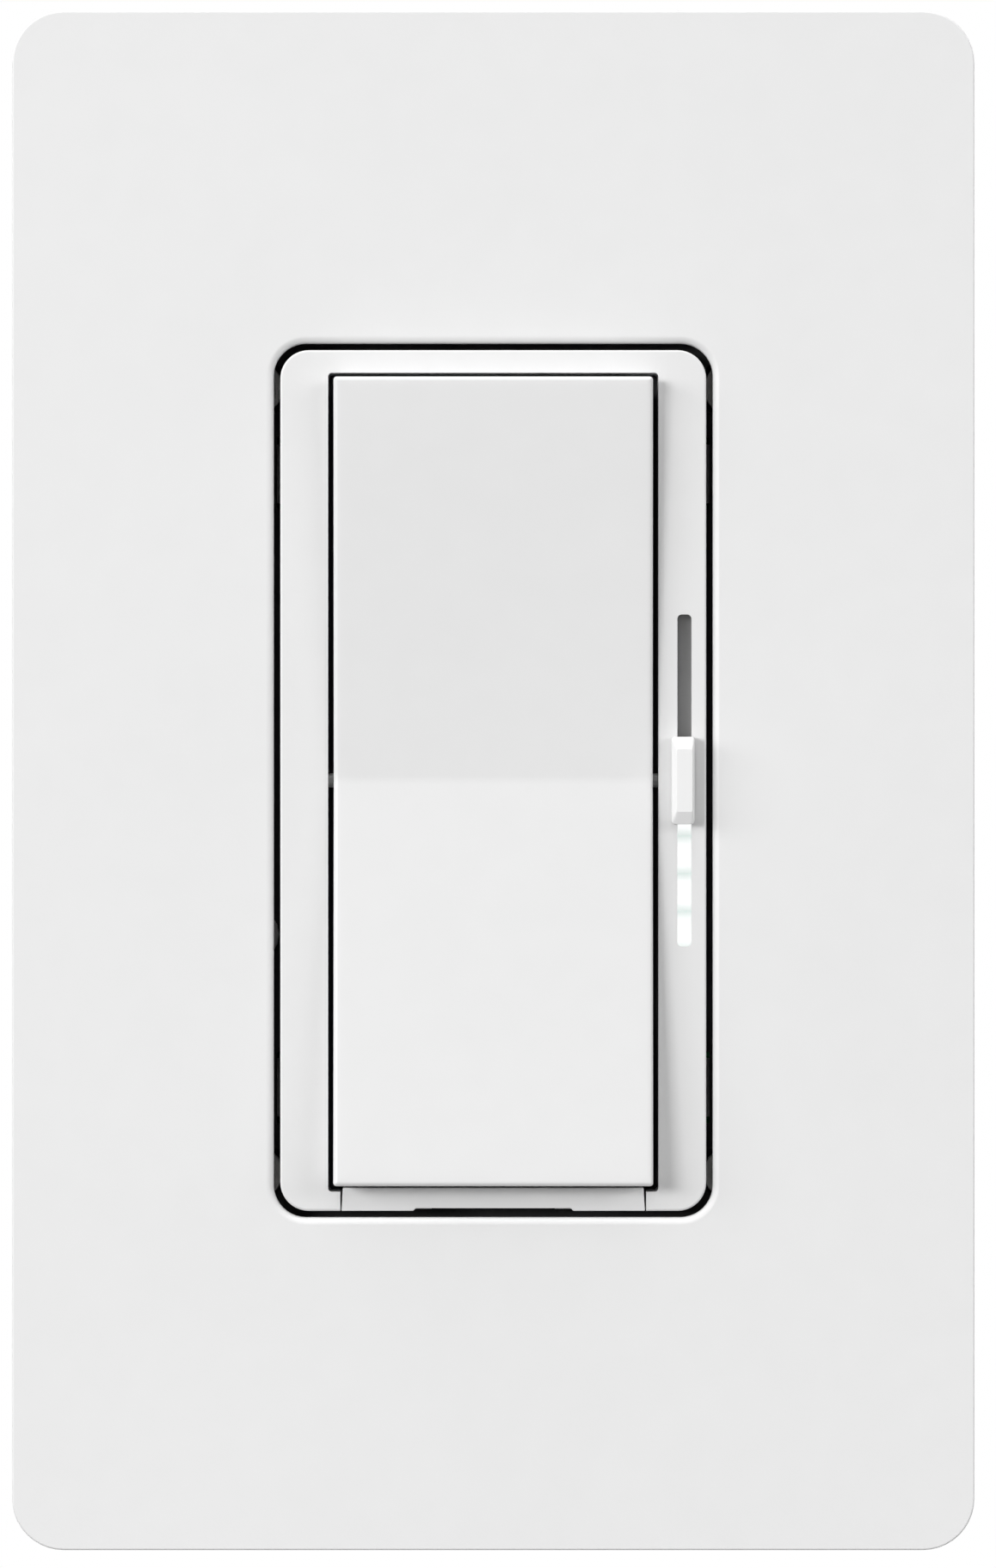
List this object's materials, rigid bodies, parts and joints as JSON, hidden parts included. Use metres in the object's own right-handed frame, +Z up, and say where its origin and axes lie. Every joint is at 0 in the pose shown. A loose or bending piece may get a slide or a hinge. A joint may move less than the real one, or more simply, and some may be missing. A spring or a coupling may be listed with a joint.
{
  "type": "slide dimmer switch",
  "caption": "Wall-box dimmer with a large rocker paddle, a narrow brightness slider, a service switch tab and a clip-on screwless wall plate.",
  "frame": {"origin": "centre of the device in the wall plane, where the yoke ears and the rim of the wall plate rest", "axes": "+X to the right seen from the room, +Z up, -Y out of the wall towards the room, +Y into the wall box"},
  "size_m": [0.0746, 0.0428, 0.1194],
  "materials": {
    "white_plastic": "fine satin moulded plastic, very light grey white",
    "zinc_steel": "zinc-plated steel",
    "black_metal": "black coated stamped metal",
    "fibre": "red-brown vulcanised fibre",
    "brass": "stamped brass",
    "copper": "copper alloy and enamelled copper wire",
    "ground_green": "green dyed rivet",
    "grey_plastic": "mid grey moulded plastic",
    "black_plastic": "black moulded plastic, fine texture",
    "black_rubber": "black rubber",
    "light_guide_acrylic": "translucent frosted acrylic, lit from behind",
    "led_lens": "clear epoxy",
    "board_green": "solder mask over glass epoxy",
    "ferrite": "sintered powder core",
    "capacitor_yellow": "yellow polyester case",
    "capacitor_blue": "dark blue sleeve",
    "resistor_buff": "buff lacquered ceramic",
    "insulating_film": "thin pale insulating pad"
  },
  "bodies": {
    "device": {"wallplate_cover": "white_plastic", "wallplate_adapter": "white_plastic", "bezel": "white_plastic", "adapter_screw_upper": "zinc_steel", "adapter_screw_lower": "zinc_steel", "mounting_screw_upper": "zinc_steel", "mounting_screw_lower": "zinc_steel", "triac_screw": "zinc_steel", "triac_tab": "zinc_steel", "housing_screw_1": "zinc_steel", "housing_screw_2": "zinc_steel", "housing_screw_3": "zinc_steel", "housing_screw_4": "zinc_steel", "yoke": "black_metal", "screw_retainer_upper": "fibre", "screw_retainer_lower": "fibre", "potentiometer_track": "fibre", "ground_lug": "brass", "ground_rivet": "ground_green", "service_contact_anvil": "brass", "triac_lead_1": "brass", "triac_lead_2": "brass", "triac_lead_3": "brass", "service_contact_leaf": "copper", "contact_upper": "copper", "contact_lower": "copper", "centre_terminal": "copper", "choke_winding": "copper", "potentiometer_housing": "black_plastic", "switch_housing": "black_plastic", "triac_body": "black_plastic", "rear_housing": "black_plastic", "lead_grommet_1": "black_rubber", "lead_grommet_2": "black_rubber", "lead_grommet_3": "black_rubber", "light_guide": "light_guide_acrylic", "indicator_led": "led_lens", "circuit_board": "board_green", "choke_core": "ferrite", "film_capacitor": "capacitor_yellow", "filter_capacitor": "capacitor_blue", "trimmer_body": "capacitor_blue", "resistor_1": "resistor_buff", "resistor_2": "resistor_buff", "triac_insulator": "insulating_film"},
    "paddle": {"paddle": "white_plastic", "switch_plunger": "brass", "switch_spring": "zinc_steel"},
    "seesaw": {"switch_seesaw": "brass"},
    "slider": {"slider_knob": "white_plastic", "slider_carriage": "grey_plastic", "potentiometer_wiper": "black_plastic"},
    "service_tab": {"service_tab": "white_plastic"},
    "trim_dial": {"trim_dial": "white_plastic"}
  },
  "joints": [
    {"name": "paddle_rock", "type": "hinge", "parent": "device", "child": "paddle", "pos_m": [0, -0.0056, 0], "axis": [1, 0, 0], "range_deg": [0, 2]},
    {"name": "seesaw_tilt", "type": "hinge", "parent": "device", "child": "seesaw", "pos_m": [0, 0.007, 0], "axis": [1, 0, 0], "range_deg": [-14, 0]},
    {"name": "slider_travel", "type": "slide", "parent": "device", "child": "slider", "axis": [0, 0, 1], "range_m": [-0.0095, 0.0095]},
    {"name": "service_tab_pull", "type": "slide", "parent": "device", "child": "service_tab", "axis": [0, -1, 0], "range_m": [0, 0.002]},
    {"name": "trim_turn", "type": "hinge", "parent": "device", "child": "trim_dial", "pos_m": [-0.0189, 0, -0.012], "axis": [0, -1, 0], "range_deg": [-135, 135]}
  ],
  "couplings": [
    {"joint": "seesaw_tilt", "follows": "paddle_rock", "ratio": -7}
  ]
}
